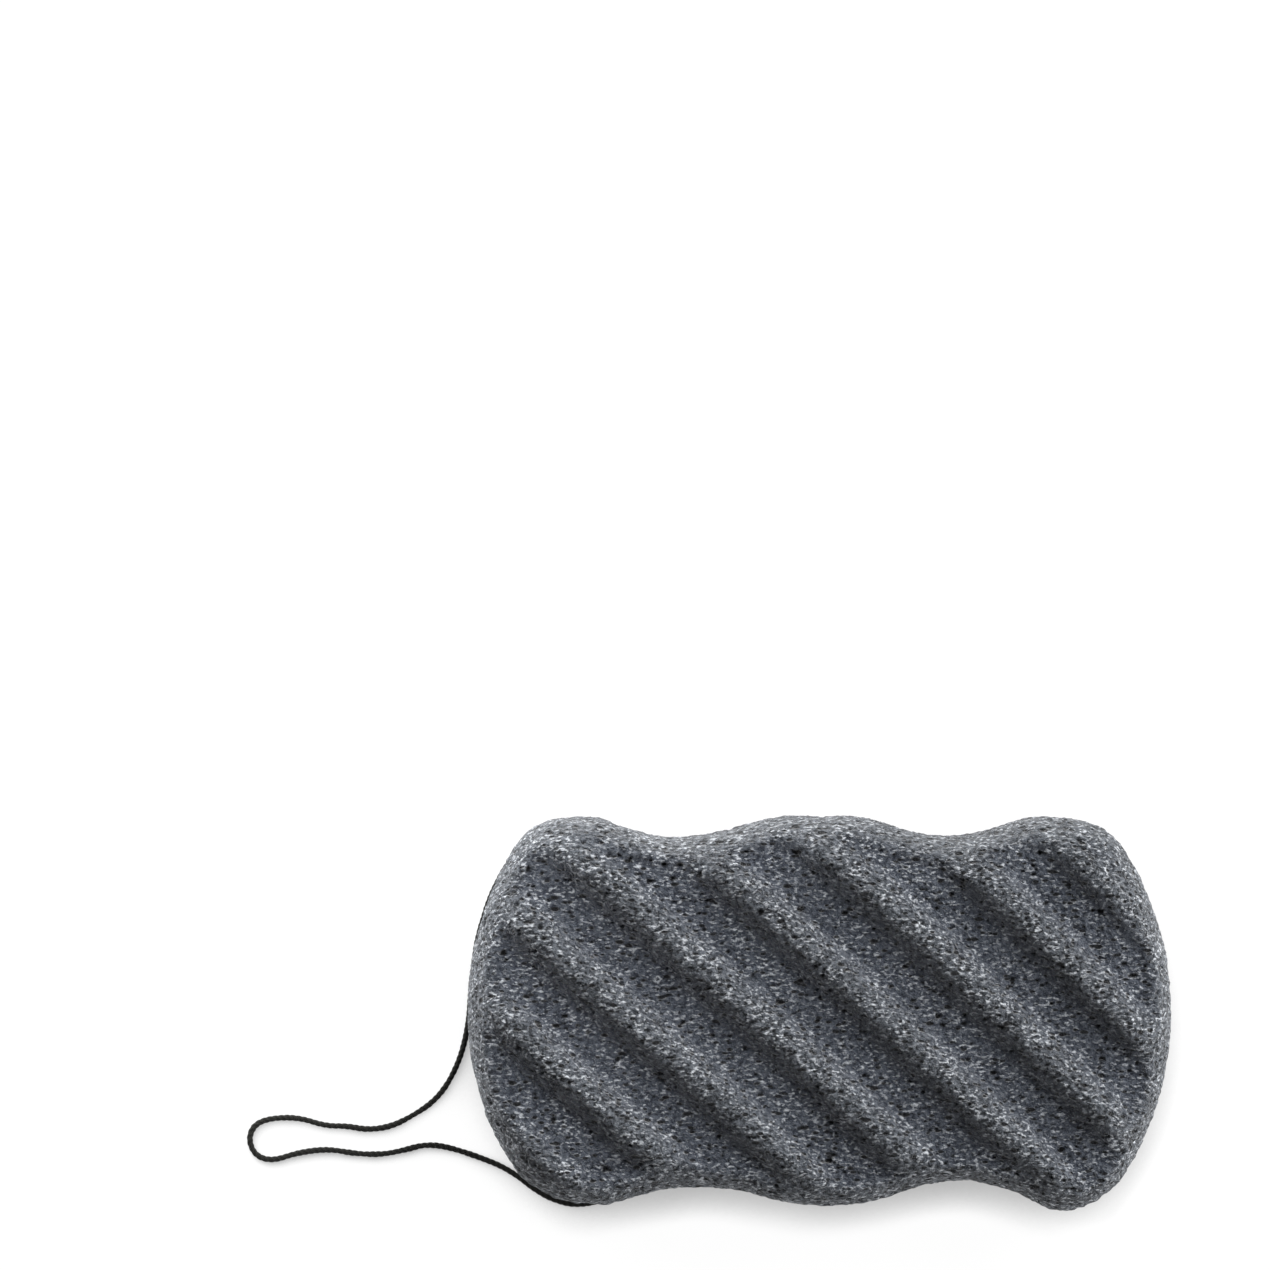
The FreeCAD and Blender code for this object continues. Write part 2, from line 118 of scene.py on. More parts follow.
# String in millimetres: its plies, its swelling, its narrowed ends, and the mesh round and along it
STRING_DIAMETER = 1.1
PLY_LAY = 3.3
PLY_DEPTH = 0.2
STRING_SWELL = 0.11
SWELL_SIZE = 2.3
END_LENGTH = 0.3
END_SHARE = 0.3
STRING_SIDES = 18
STRING_STEP = 0.16

# Knot in millimetres: one end wound three times round the string, both ends cut short
KNOT_CENTRE = np.array([-44.1, 33.7, 1.5])
KNOT_WAY = np.array([0.9997, -0.0232, 0.0])
KNOT_SIDE = np.array([0.0232, 0.9997, 0.0])
KNOT_UP = np.array([0.0, 0.0, 1.0])
KNOT_TURNS = 3
KNOT_RADIUS = 0.95
KNOT_PITCH = 1.12

# Route of the string in millimetres: the part's own points, some moved a little after the photograph
ROUTE = [
    # From inside the sponge out of the upper mouth and through the knot
    (-31.2, 13.0, 5.6),
    (-31.6, 20.5, 5.2),
    (-32.8, 27.6, 4.2),
    (-35.9, 32.0, 2.4),
    (-39.8, 33.6, 1.5),
    (-48.4, 33.8, 1.5),
    # Round the left end
    (-53.4, 31.4, 0.9),
    (-57.6, 27.0, 0.6),
    (-60.95, 20.7, 0.55),
    (-63.5, 12.7, 0.55),
    (-64.65, 4.0, 0.55),
    (-65.2, -4.8, 0.55),
    # Out and back round the free loop
    (-67.3, -11.9, 0.55),
    (-71.0, -17.9, 0.55),
    (-77.0, -21.7, 0.55),
    (-80.5, -23.1, 0.55),
    (-84.4, -23.5, 0.55),
    (-88.0, -22.8, 0.55),
    (-92.0, -22.8, 0.55),
    (-97.0, -21.2, 0.55),
    (-102.2, -21.3, 0.55),
    (-105.4, -22.5, 0.55),
    (-106.5, -25.35, 0.55),
    (-105.2, -28.4, 0.55),
    (-102.0, -29.4, 0.55),
    (-97.2, -27.8, 0.55),
    (-91.5, -27.1, 0.55),
    (-86.5, -28.0, 0.55),
    (-81.5, -28.2, 0.55),
    (-77.0, -27.3, 0.55),
    (-73.5, -26.3, 0.55),
    (-69.5, -26.6, 0.55),
    # Along the foot and in again
    (-63.5, -28.5, 0.55),
    (-57.6, -30.9, 0.55),
    (-52.3, -35.1, 0.55),
    (-47.3, -37.5, 0.55),
    (-42.8, -37.5, 0.55),
    (-39.3, -36.4, 0.85),
    (-35.6, -33.0, 2.0),
    (-32.8, -28.3, 4.0),
    (-31.6, -20.5, 5.2),
    (-31.0, -8.0, 5.8),
    (-31.0, 8.0, 5.8),
    (-31.2, 13.0, 5.6),
]


def tint(code):
    """Linear colour of an sRGB hex code: c / 12.92 up to 0.04045, and ((c + 0.055) / 1.055) ^ 2.4 above."""
    channels = [int(code[i:i + 2], 16) / 255 for i in (1, 3, 5)]
    linear = [c / 12.92 if c <= 0.04045 else ((c + 0.055) / 1.055) ** 2.4 for c in channels]
    return (*linear, 1.0)


def node(tree, kind, inputs, **settings):
    """Add one node: settings are its own properties, inputs are values or sockets to link from."""
    made = tree.nodes.new(kind)
    for name, value in settings.items():
        setattr(made, name, value)
    for name, value in inputs.items():
        if isinstance(value, bpy.types.NodeSocket):
            tree.links.new(value, made.inputs[name])
        else:
            made.inputs[name].default_value = value
    return made


def smooth(value, low, high):
    """Soft step from 0 at low to 1 at high: 3 t^2 - 2 t^3."""
    t = np.clip((value - low) / (high - low), 0.0, 1.0)
    return t * t * (3.0 - 2.0 * t)


def chance(i, j, k, salt):
    """Fixed pseudo-random number from 0 to 1 for each lattice cell: the bits of its three indices, mixed."""
    n = (i * 73856093) ^ (j * 19349663) ^ (k * 83492791) ^ (salt * 2654435761)
    n &= 0xFFFFFFFF
    n = ((n ^ (n >> 15)) * 2246822519) & 0xFFFFFFFF
    n = ((n ^ (n >> 13)) * 3266489917) & 0xFFFFFFFF
    return ((n ^ (n >> 16)) & 0xFFFFFF) / 0x1000000


def cloud(points, size, salt):
    """Soft lumps from -1 to 1: random values at the corners of a cubic lattice, blended smoothly."""
    place = points / size
    cell = np.floor(place).astype(np.int64)
    part = place - cell
    part = part * part * (3.0 - 2.0 * part)
    total = np.zeros(len(points))
    for corner in np.ndindex(2, 2, 2):
        share = np.prod(np.where(np.array(corner) == 1, part, 1.0 - part), axis=1)
        at = cell + np.array(corner)
        total += share * chance(at[:, 0], at[:, 1], at[:, 2], salt)
    return 2.0 * total - 1.0


def pores(points, spacing, smallest, largest, share, salt):
    """Open cells: at most one sphere in a lattice cell, placed at random; 1 in its middle, 0 at its skin."""
    cell = np.floor(points / spacing).astype(np.int64)
    deepest = np.zeros(len(points))
    for step in np.ndindex(3, 3, 3):
        at = cell + np.array(step) - 1
        i, j, k = at[:, 0], at[:, 1], at[:, 2]
        offset = np.stack([chance(i, j, k, salt + n) for n in (1, 2, 3)], axis=1)
        # A cell without a pore keeps a sphere too small to reach any point
        radius = smallest + (largest - smallest) * chance(i, j, k, salt + 4) ** 2
        radius = np.where(chance(i, j, k, salt + 5) < share, radius, 1e-6)
        away = np.linalg.norm(points - (at + offset) * spacing, axis=1)
        deepest = np.maximum(deepest, 1.0 - away / radius)
    return deepest


def slanted(points):
    """Points turned by the foam's slant about x, then about y, so that no lattice lies along a flat face."""
    c, s = math.cos(FOAM_SLANT[0]), math.sin(FOAM_SLANT[0])
    d, t = math.cos(FOAM_SLANT[1]), math.sin(FOAM_SLANT[1])
    about_x = np.array([(1.0, 0.0, 0.0), (0.0, c, s), (0.0, -s, c)])
    about_y = np.array([(d, 0.0, -t), (0.0, 1.0, 0.0), (t, 0.0, d)])
    return points @ about_x @ about_y


def outline(stations):
    """Scalloped outline: twelve tangent arcs, walked counter-clockwise from the right end.

    The stations are shares of four sides that meet at the middles of the four corner arcs, from the lower
    left corner on. The length along is measured on a line part way in, so that columns stay even."""
    end_x = LENGTH / 2 - END_RADIUS
    corner_y = WIDTH / 2 - CORNER_RADIUS
    corner_x = end_x + math.sqrt((END_RADIUS - CORNER_RADIUS) ** 2 - corner_y ** 2)
    dip_x = corner_x * SCALLOP_SHARE
    reach = corner_x - dip_x
    dip_r = (reach ** 2 + (CORNER_RADIUS - SCALLOP_DEPTH) ** 2 - CORNER_RADIUS ** 2) / (2 * SCALLOP_DEPTH)
    mid_r = (dip_x ** 2 + (dip_r - SCALLOP_DEPTH) ** 2 - dip_r ** 2) / (2 * SCALLOP_DEPTH)
    dip_y = WIDTH / 2 - SCALLOP_DEPTH + dip_r
    mid_y = WIDTH / 2 - mid_r
    end_turn = math.atan2(corner_y, corner_x - end_x)
    corner_turn = math.atan2(dip_y - corner_y, dip_x - corner_x)
    dip_turn = math.atan2(dip_y - mid_y, dip_x)
    pi = math.pi
    # Centre, radius, first and last angle; hollow arcs run backwards
    arcs = [
        (end_x, 0.0, END_RADIUS, -end_turn, end_turn),
        (corner_x, corner_y, CORNER_RADIUS, end_turn, corner_turn),
        (dip_x, dip_y, dip_r, corner_turn - pi, dip_turn - pi),
        (0.0, mid_y, mid_r, dip_turn, pi - dip_turn),
        (-dip_x, dip_y, dip_r, -dip_turn, -corner_turn),
        (-corner_x, corner_y, CORNER_RADIUS, pi - corner_turn, pi - end_turn),
        (-end_x, 0.0, END_RADIUS, pi - end_turn, pi + end_turn),
        (-corner_x, -corner_y, CORNER_RADIUS, pi + end_turn, pi + corner_turn),
        (-dip_x, -dip_y, dip_r, corner_turn, dip_turn),
        (0.0, -mid_y, mid_r, pi + dip_turn, 2 * pi - dip_turn),
        (dip_x, -dip_y, dip_r, pi - dip_turn, pi - corner_turn),
        (corner_x, -corner_y, CORNER_RADIUS, 2 * pi - corner_turn, 2 * pi - end_turn),
    ]
    part_way = 5.0
    rows = []
    walked = 0.0
    middles = {}
    for number, (cx, cy, radius, first, last) in enumerate(arcs):
        way = 1.0 if last > first else -1.0
        turn = np.linspace(first, last, ARC_STEPS + 1)[:-1]
        length = (radius - way * part_way) * abs(last - first)
        along = walked + np.linspace(0.0, length, ARC_STEPS + 1)[:-1]
        rows.append(np.stack([along, cx + radius * np.cos(turn), cy + radius * np.sin(turn),
                              way * np.cos(turn), way * np.sin(turn)]))
        middles[number] = walked + length / 2
        walked += length
    along, x, y, nx, ny = np.concatenate(rows, axis=1)
    marks = np.array([middles[7], middles[11], middles[1] + walked, middles[5] + walked, middles[7] + walked])
    wanted = np.interp(stations, np.arange(5.0), marks)
    return [np.interp(wanted, along, values, period=walked) for values in (x, y, nx, ny)]


def eased(x, places, values):
    """Value at x of a line that goes from place to place in soft steps."""
    places, values = np.array(places), np.array(values)
    i = np.clip(np.searchsorted(places, x) - 1, 0, len(places) - 2)
    return values[i] + (values[i + 1] - values[i]) * smooth(x, places[i], places[i + 1])


def drift(x, y):
    """Uneven foam: how far the scallops of the upper and lower side sit off their even places.

    Soft steps between listed shifts. Those along the sponge blend from its lower to its upper side, and
    those across it fade towards its middle line."""
    even = [-65.0, -44.7, -24.8, 0.0, 24.8, 44.7, 65.0]
    upper_along = eased(x, even, [0.35, 0.0, -2.0, 0.6, 0.0, -1.0, 0.0])
    lower_along = eased(x, even, [0.35, 0.8, 1.9, 0.5, 1.0, 0.6, 0.0])
    upper = [-65.0, -56.0, -46.0, -34.0, -24.8, -8.0, 0.0, 10.0, 24.8, 34.0, 46.0, 57.0, 65.0]
    upper_across = eased(x, upper, [0.0, 0.2, -0.6, 0.35, -0.1, 0.1, -0.5, 0.2, 0.3, 0.75, -0.65, 0.6, 0.0])
    lower = [-65.0, -59.0, -53.0, -45.0, -36.0, -29.0, -22.0, -12.0, 0.0, 12.0, 26.0, 34.0, 44.0, 53.0, 65.0]
    lower_across = eased(x, lower, [0.0, 1.1, 1.2, 0.8, -0.9, -0.7, -0.7, 0.4, 0.3, 0.2, 0.95, 0.4, -0.6,
                                    0.1, 0.0])
    share = smooth(y, -WIDTH / 2, WIDTH / 2)
    along = lower_along + (upper_along - lower_along) * share
    near = np.abs(y) / (WIDTH / 2)
    across = np.where(y > 0, upper_across, lower_across) * near * near
    return np.stack([along, across, np.zeros_like(x)], axis=1)


def wave(x, y):
    """Depth of the diagonal valleys from 0 on a crest to 1 on a floor.

    Each ridge is a raised cosine across its width, made fuller by p - fullness sin(2 pi p / width) in place
    of p, so that it is steepest near its foot, and more so on the side towards the upper right. The ridges
    stand apart on flat floors, wander slightly and lie closer towards the right end."""
    across = x * math.cos(WAVE_TURN) + y * math.sin(WAVE_TURN) - WAVE_SHIFT
    spot = np.stack([x, y, np.zeros_like(x)], axis=1)
    across = across + WANDER * cloud(spot, WANDER_SIZE, salt=11)
    across = across + LEFT_FAN * y * smooth(-x, *LEFT_REACH)
    across = across + RIGHT_CROWDING * smooth(x, *RIGHT_REACH)
    off = ((across / WAVE_PITCH + 0.5) % 1.0 - 0.5) * WAVE_PITCH
    turn = 2.0 * math.pi * np.minimum(np.abs(off) / RIDGE_WIDTH, 0.5)
    fullness = 2.0 * math.pi / RIDGE_WIDTH * np.where(off > 0.0, RIDGE_FULLNESS, LEE_FULLNESS)
    return 0.5 - 0.5 * np.cos(turn - fullness * np.sin(turn))


def quads(index):
    """Corner indices of the cells of a grid of vertex indices, counter-clockwise in its rows and columns."""
    return np.stack([index[:-1, :-1], index[:-1, 1:], index[1:, 1:], index[1:, :-1]], axis=-1).reshape(-1, 4)


def coons(low, right, top, left):
    """Grid between four side curves: both ruled surfaces added, less the bilinear one of the four corners."""
    s = np.linspace(0.0, 1.0, len(low))[None, :, None]
    t = np.linspace(0.0, 1.0, len(left))[:, None, None]
    ruled = (1 - t) * low[None] + t * top[None] + (1 - s) * left[:, None] + s * right[:, None]
    corners = ((1 - t) * ((1 - s) * low[0] + s * low[-1]) + t * ((1 - s) * top[0] + s * top[-1]))
    return ruled - corners


def mesh_piece(name, points, faces, material):
    """New object at the origin from points in metres and four-cornered faces, shaded smooth."""
    mesh = bpy.data.meshes.new(name)
    mesh.vertices.add(len(points))
    mesh.vertices.foreach_set("co", points.astype(np.float32).ravel())
    mesh.loops.add(faces.size)
    mesh.loops.foreach_set("vertex_index", faces.astype(np.int32).ravel())
    mesh.polygons.add(len(faces))
    mesh.polygons.foreach_set("loop_start", np.arange(0, faces.size, 4, dtype=np.int32))
    mesh.polygons.foreach_set("use_smooth", np.ones(len(faces), dtype=bool))
    mesh.update(calc_edges=True)
    mesh.materials.append(material)
    piece = bpy.data.objects.new(name, mesh)
    bpy.context.collection.objects.link(piece)
    return piece


def store(mesh, name, values):
    """Keep one number per vertex for the material to read."""
    mesh.attributes.new(name, "FLOAT", "POINT").data.foreach_set("value", values.astype(np.float32))


def sponge_surface():
    """Closed pillow of the sponge: a band round the rim, and a front and a back grid inside it.

    Band: column u of the outline is moved inwards by r (1 - cos a) while it rises by r sin a, a quarter turn
    at the front and one at the back, with a plain side between. Grids: Coons patches on the inner edges of
    the band. The valleys bring the height of the front down to their floor, and run out towards the rim.
    Returns points in millimetres, faces, and for each point how deep in a valley, how far inside the waved
    face and how near the upper rim it is."""
    count = 2 * (LONG_COLUMNS + END_COLUMNS)
    sides = [LONG_COLUMNS, END_COLUMNS, LONG_COLUMNS, END_COLUMNS]
    stations = np.concatenate([i + np.arange(n) / n for i, n in enumerate(sides)])
    x, y, nx, ny = outline(stations)
    front = np.linspace(math.pi / 2, 0.0, FRONT_ROWS + 1)
    side = np.linspace(CREST_HEIGHT - FRONT_ROUND, BACK_ROUND, SIDE_ROWS + 1)[1:-1]
    back = np.linspace(0.0, math.pi / 2, BACK_ROWS + 1)
    inset = np.concatenate([FRONT_ROUND * (1 - np.cos(front)), np.zeros(len(side)),
                            BACK_ROUND * (1 - np.cos(back))])
    height = np.concatenate([CREST_HEIGHT - FRONT_ROUND * (1 - np.sin(front)), side,
                             BACK_ROUND * (1 - np.sin(back))])
    rows = len(inset)
    band = np.stack([x[None] - nx[None] * inset[:, None], y[None] - ny[None] * inset[:, None],
                     np.repeat(height[:, None], count, axis=1)], axis=-1)
    waved = np.zeros((rows, count))
    waved[:FRONT_ROWS + 1] = smooth(inset[:FRONT_ROWS + 1], *WAVE_START)[:, None]
    a, b, c = LONG_COLUMNS, LONG_COLUMNS + END_COLUMNS, 2 * LONG_COLUMNS + END_COLUMNS
    points = [band.reshape(-1, 3)]
    reach = [waved.ravel()]
    border = [np.repeat((1.0 - smooth(inset, *RIM_INSET)) * smooth(height, *RIM_HEIGHT), count)]
    faces = []
    number = np.arange(rows * count).reshape(rows, count)
    number = np.concatenate([number, number[:, :1]], axis=1)
    faces.append(quads(number)[:, [0, 3, 2, 1]])
    used = rows * count
    for row, waves, order in ((0, 1.0, [0, 1, 2, 3]), (rows - 1, 0.0, [0, 3, 2, 1])):
        edge = np.concatenate([band[row], band[row, :1]])
        grid = coons(edge[:a + 1], edge[a:b + 1], edge[b:c + 1][::-1], edge[c:][::-1])
        index = np.zeros(grid.shape[:2], dtype=np.int64)
        index[0] = number[row, :a + 1]
        index[:, -1] = number[row, a:b + 1]
        index[-1] = number[row, b:c + 1][::-1]
        index[:, 0] = number[row, c:][::-1]
        inner = grid[1:-1, 1:-1].reshape(-1, 3)
        index[1:-1, 1:-1] = used + np.arange(len(inner)).reshape(grid.shape[0] - 2, grid.shape[1] - 2)
        used += len(inner)
        points.append(inner)
        reach.append(np.full(len(inner), waves))
        border.append(np.zeros(len(inner)))
        faces.append(quads(index)[:, order])
    points = np.concatenate(points)
    reach = np.concatenate(reach)
    points += drift(points[:, 0], points[:, 1])
    hollow = wave(points[:, 0], points[:, 1]) * reach
    points[:, 2] -= np.maximum(points[:, 2] - (CREST_HEIGHT - WAVE_DEPTH), 0.0) * hollow
    return points, np.concatenate(faces), hollow, reach, np.concatenate(border)


def make_sponge(material):
    """The waved foam: the smooth pillow, every point moved along its normal by grain, lumps and open pores.

    The foam is also drawn in round the mouths of the string, by depth e^-(away / radius)^2."""
    points, faces, hollow, waved, border = sponge_surface()
    piece = mesh_piece("sponge_foam", points * MM, faces, material)
    mesh = piece.data
    normals = np.zeros(len(points) * 3, dtype=np.float32)
    mesh.vertices.foreach_get("normal", normals)
    normals = normals.reshape(-1, 3).astype(float)
    long_way = slanted(points * np.array(PORE_STRETCH))
    large = pores(long_way, *LARGE_PORES, salt=20)
    small = pores(long_way, *SMALL_PORES, salt=40)
    grain = cloud(slanted(points), GRAIN_SIZE, salt=60)
    lumps = cloud(slanted(points), LUMP_SIZE, salt=70)
    open_cell = np.maximum(smooth(large, 0.0, LARGE_EDGE), SMALL_SHARE * smooth(small, 0.0, SMALL_EDGE))
    move = GRAIN_HEIGHT * grain + LUMP_HEIGHT * lumps - PORE_DEPTH * open_cell
    for mouth in MOUTHS:
        away = np.linalg.norm(points - np.array(mouth), axis=1)
        move -= MOUTH_DEPTH * np.exp(-(away / MOUTH_RADIUS) ** 2)
    settled = points + normals * move[:, None]
    settled[:, 2] = np.maximum(settled[:, 2], 0.0)
    mesh.vertices.foreach_set("co", (settled * MM).astype(np.float32).ravel())
    # The open cells also tell the material where to paint the pits black as shade
    store(mesh, "open_cell", open_cell)
    store(mesh, "hollow", hollow)
    # The lee share marks the flanks turned from the light, which the material darkens as painted shade
    facing = normals[:, 0] * math.cos(WAVE_TURN) + normals[:, 1] * math.sin(WAVE_TURN)
    store(mesh, "lee", waved * smooth(-facing, *LEE_LEAN))
    # The border share marks the upper rim, which the material paints paler and more flecked, partly as its
    # own paler skin and partly as painted sheen
    store(mesh, "border", border)
    mesh.update()
    return piece


def string_line(name, points):
    """Smooth line of a string: a NURBS of order 3 on given points in millimetres, read back as points."""
    curve = bpy.data.curves.new(name, "CURVE")
    curve.dimensions = "3D"
    curve.resolution_u = 24
    spline = curve.splines.new("NURBS")
    spline.points.add(len(points) - 1)
    flat = [value for x, y, z in points for value in (x * MM, y * MM, z * MM, 1.0)]
    spline.points.foreach_set("co", flat)
    spline.order_u = 3
    spline.use_endpoint_u = True
    carrier = bpy.data.objects.new(name, curve)
    bpy.context.collection.objects.link(carrier)
    bpy.context.view_layer.update()
    line = bpy.data.meshes.new_from_object(carrier)
    found = np.zeros(len(line.vertices) * 3)
    line.vertices.foreach_get("co", found)
    bpy.data.objects.remove(carrier)
    bpy.data.curves.remove(curve)
    bpy.data.meshes.remove(line)
    return found.reshape(-1, 3) / MM


def even_points(line, step):
    """Points at even distances along a line."""
    along = np.concatenate([[0.0], np.cumsum(np.linalg.norm(np.diff(line, axis=0), axis=1))])
    wanted = np.linspace(0.0, along[-1], int(along[-1] / step) + 1)
    return np.stack([np.interp(wanted, along, line[:, n]) for n in range(3)], axis=1), wanted


def twisted_string(name, line, material, salt):
    """Three plies twisted into one string: a profile of radius 0.8 + 0.2 |cos 1.5 a|, turned along the line.

    The profile turns once in each lay length, swells and thins a little, and narrows to a small closed disc
    at both ends: quads round a middle point, each on three points of the last ring."""
    path, along = even_points(line, STRING_STEP)
    ahead = np.gradient(path, axis=0)
    ahead /= np.linalg.norm(ahead, axis=1)[:, None]
    aside = np.cross([0.0, 0.0, 1.0], ahead)
    aside /= np.linalg.norm(aside, axis=1)[:, None]
    above = np.cross(ahead, aside)
    angle = np.linspace(0.0, 2 * math.pi, STRING_SIDES, endpoint=False)[None, :]
    twist = 2 * math.pi * along[:, None] / PLY_LAY
    plies = np.abs(np.cos(1.5 * (angle - twist)))
    swell = 1.0 + STRING_SWELL * cloud(path, SWELL_SIZE, salt)
    radius = STRING_DIAMETER / 2 * (1 - PLY_DEPTH + PLY_DEPTH * plies) * swell[:, None]
    ends = smooth(np.minimum(along, along[-1] - along), 0.0, END_LENGTH)
    radius = radius * (END_SHARE + (1 - END_SHARE) * np.sqrt(ends))[:, None]
    surface = (path[:, None] + radius[..., None] * (np.cos(angle)[..., None] * aside[:, None]
                                                    + np.sin(angle)[..., None] * above[:, None]))
    first = surface.shape[0] * STRING_SIDES
    number = np.arange(first).reshape(-1, STRING_SIDES)
    number = np.concatenate([number, number[:, :1]], axis=1)
    even = np.arange(0, STRING_SIDES, 2)
    middle = np.full(len(even), first)
    near, far = number[0], number[-1]
    start = np.stack([middle, near[even + 2], near[even + 1], near[even]], axis=1)
    stop = np.stack([middle + 1, far[even], far[even + 1], far[even + 2]], axis=1)
    points = np.concatenate([surface.reshape(-1, 3), path[:1], path[-1:]])
    piece = mesh_piece(name, points * MM, np.concatenate([quads(number), start, stop]), material)
    # The groove share tells the material where to paint shade between the plies
    store(piece.data, "groove", np.concatenate([(1.0 - plies).ravel(), [0.0, 0.0]]))
    return piece, path


def knot_points():
    """A helix round the string, twelve steps to a turn, with a tail led away from each end of it."""
    turn = np.linspace(-KNOT_TURNS * math.pi, KNOT_TURNS * math.pi, 12 * KNOT_TURNS + 1)
    helix = np.stack([KNOT_PITCH * turn / (2 * math.pi), -KNOT_RADIUS * np.sin(turn),
                      -KNOT_RADIUS * np.cos(turn)], axis=1)
    tail = np.array([(2.1, 0.6, 1.05), (3.2, 0.6, 1.25), (4.5, 0.0, 1.55), (5.6, -0.6, 1.8)])
    other = np.array([(-5.8, -0.2, 1.9), (-4.6, -0.4, 1.55), (-3.2, -0.6, 1.25), (-2.1, -0.6, 1.05)])
    local = np.concatenate([other, helix, tail])
    placed = local[:, :1] * KNOT_WAY + local[:, 1:2] * KNOT_SIDE + local[:, 2:] * KNOT_UP
    return (KNOT_CENTRE + placed).tolist()


def cotton_black(name):
    """Twisted cotton dyed black: matt, with a soft fuzz that greys its edges and painted shade as dark lines
    in the grooves between plies.
    """
    material = bpy.data.materials.new(name)
    material.use_nodes = True
    tree = material.node_tree
    shader = tree.nodes["Principled BSDF"]
    place = node(tree, "ShaderNodeTexCoord", {})
    # Fibres, drawn coarser than real cotton so that they show
    fibre = node(tree, "ShaderNodeTexNoise", {"Vector": place.outputs["Object"],
                                              "Scale": 1 / (FIBRE_SIZE * MM), "Detail": 2.0})
    groove = node(tree, "ShaderNodeAttribute", {}, attribute_name="groove")
    lit = node(tree, "ShaderNodeMix", {0: fibre.outputs["Fac"], 6: tint("#0d0d0b"), 7: tint("#2a2a25")},
               data_type="RGBA")
    # Painted shade: the grooves between the plies darkened towards black
    deep = node(tree, "ShaderNodeMix", {0: groove.outputs["Fac"], 6: lit.outputs[2], 7: tint("#090908")},
                data_type="RGBA")
    bump = node(tree, "ShaderNodeBump", {"Height": fibre.outputs["Fac"], "Strength": 0.5,
                                         "Distance": 0.00008})
    tree.links.new(deep.outputs[2], shader.inputs["Base Color"])
    tree.links.new(bump.outputs["Normal"], shader.inputs["Normal"])
    shader.inputs["Roughness"].default_value = 0.9
    shader.inputs["Specular IOR Level"].default_value = 0.25
    shader.inputs["Sheen Weight"].default_value = 0.15
    return material


